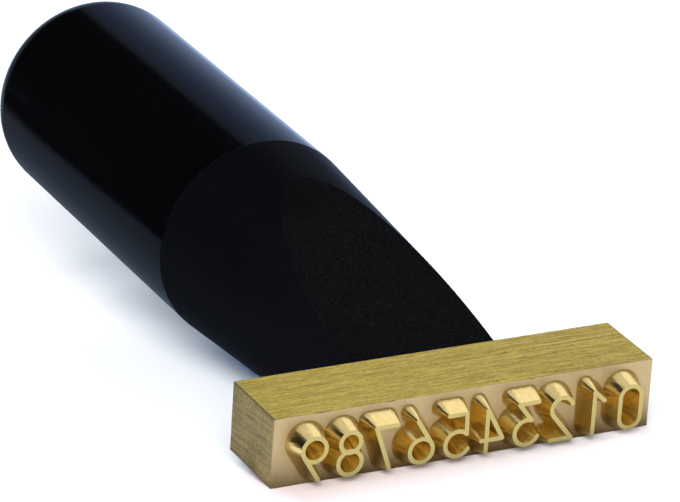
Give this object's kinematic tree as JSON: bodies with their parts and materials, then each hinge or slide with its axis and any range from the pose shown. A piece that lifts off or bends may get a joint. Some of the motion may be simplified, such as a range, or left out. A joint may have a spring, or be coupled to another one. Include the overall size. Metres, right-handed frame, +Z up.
{
  "type": "hand stamp",
  "caption": "Hand stamp with a polished round grip, a tapered nose milled to a wedge, and a brass bar die whose raised mirror-reading figures print by hand pressure.",
  "frame": {"origin": "centre of the stamp's bounding box on the surface it lies on", "axes": "+X along the die to the right, +Y from the die back along the handle, +Z up; the handle's axis lies in the YZ plane and rises towards the grip by 10.7 degrees"},
  "size_m": [0.055, 0.125, 0.0412],
  "materials": {
    "grip_black": "polished black rod",
    "nose_black": "as machined, satin black",
    "brass": "drawn and engraved brass",
    "steel": "plain turned steel"
  },
  "bodies": {
    "head": {"nose": "nose_black", "brass_die": "brass", "stud": "steel", "left_die_screw": "steel", "right_die_screw": "steel", "left_washer": "steel", "right_washer": "steel"},
    "grip": {"grip": "grip_black", "grip_insert": "brass"}
  },
  "joints": [
    {"name": "grip_off", "type": "slide", "parent": "head", "child": "grip", "axis": [0, 0.9825, 0.186], "range_m": [0, 0.016]}
  ]
}
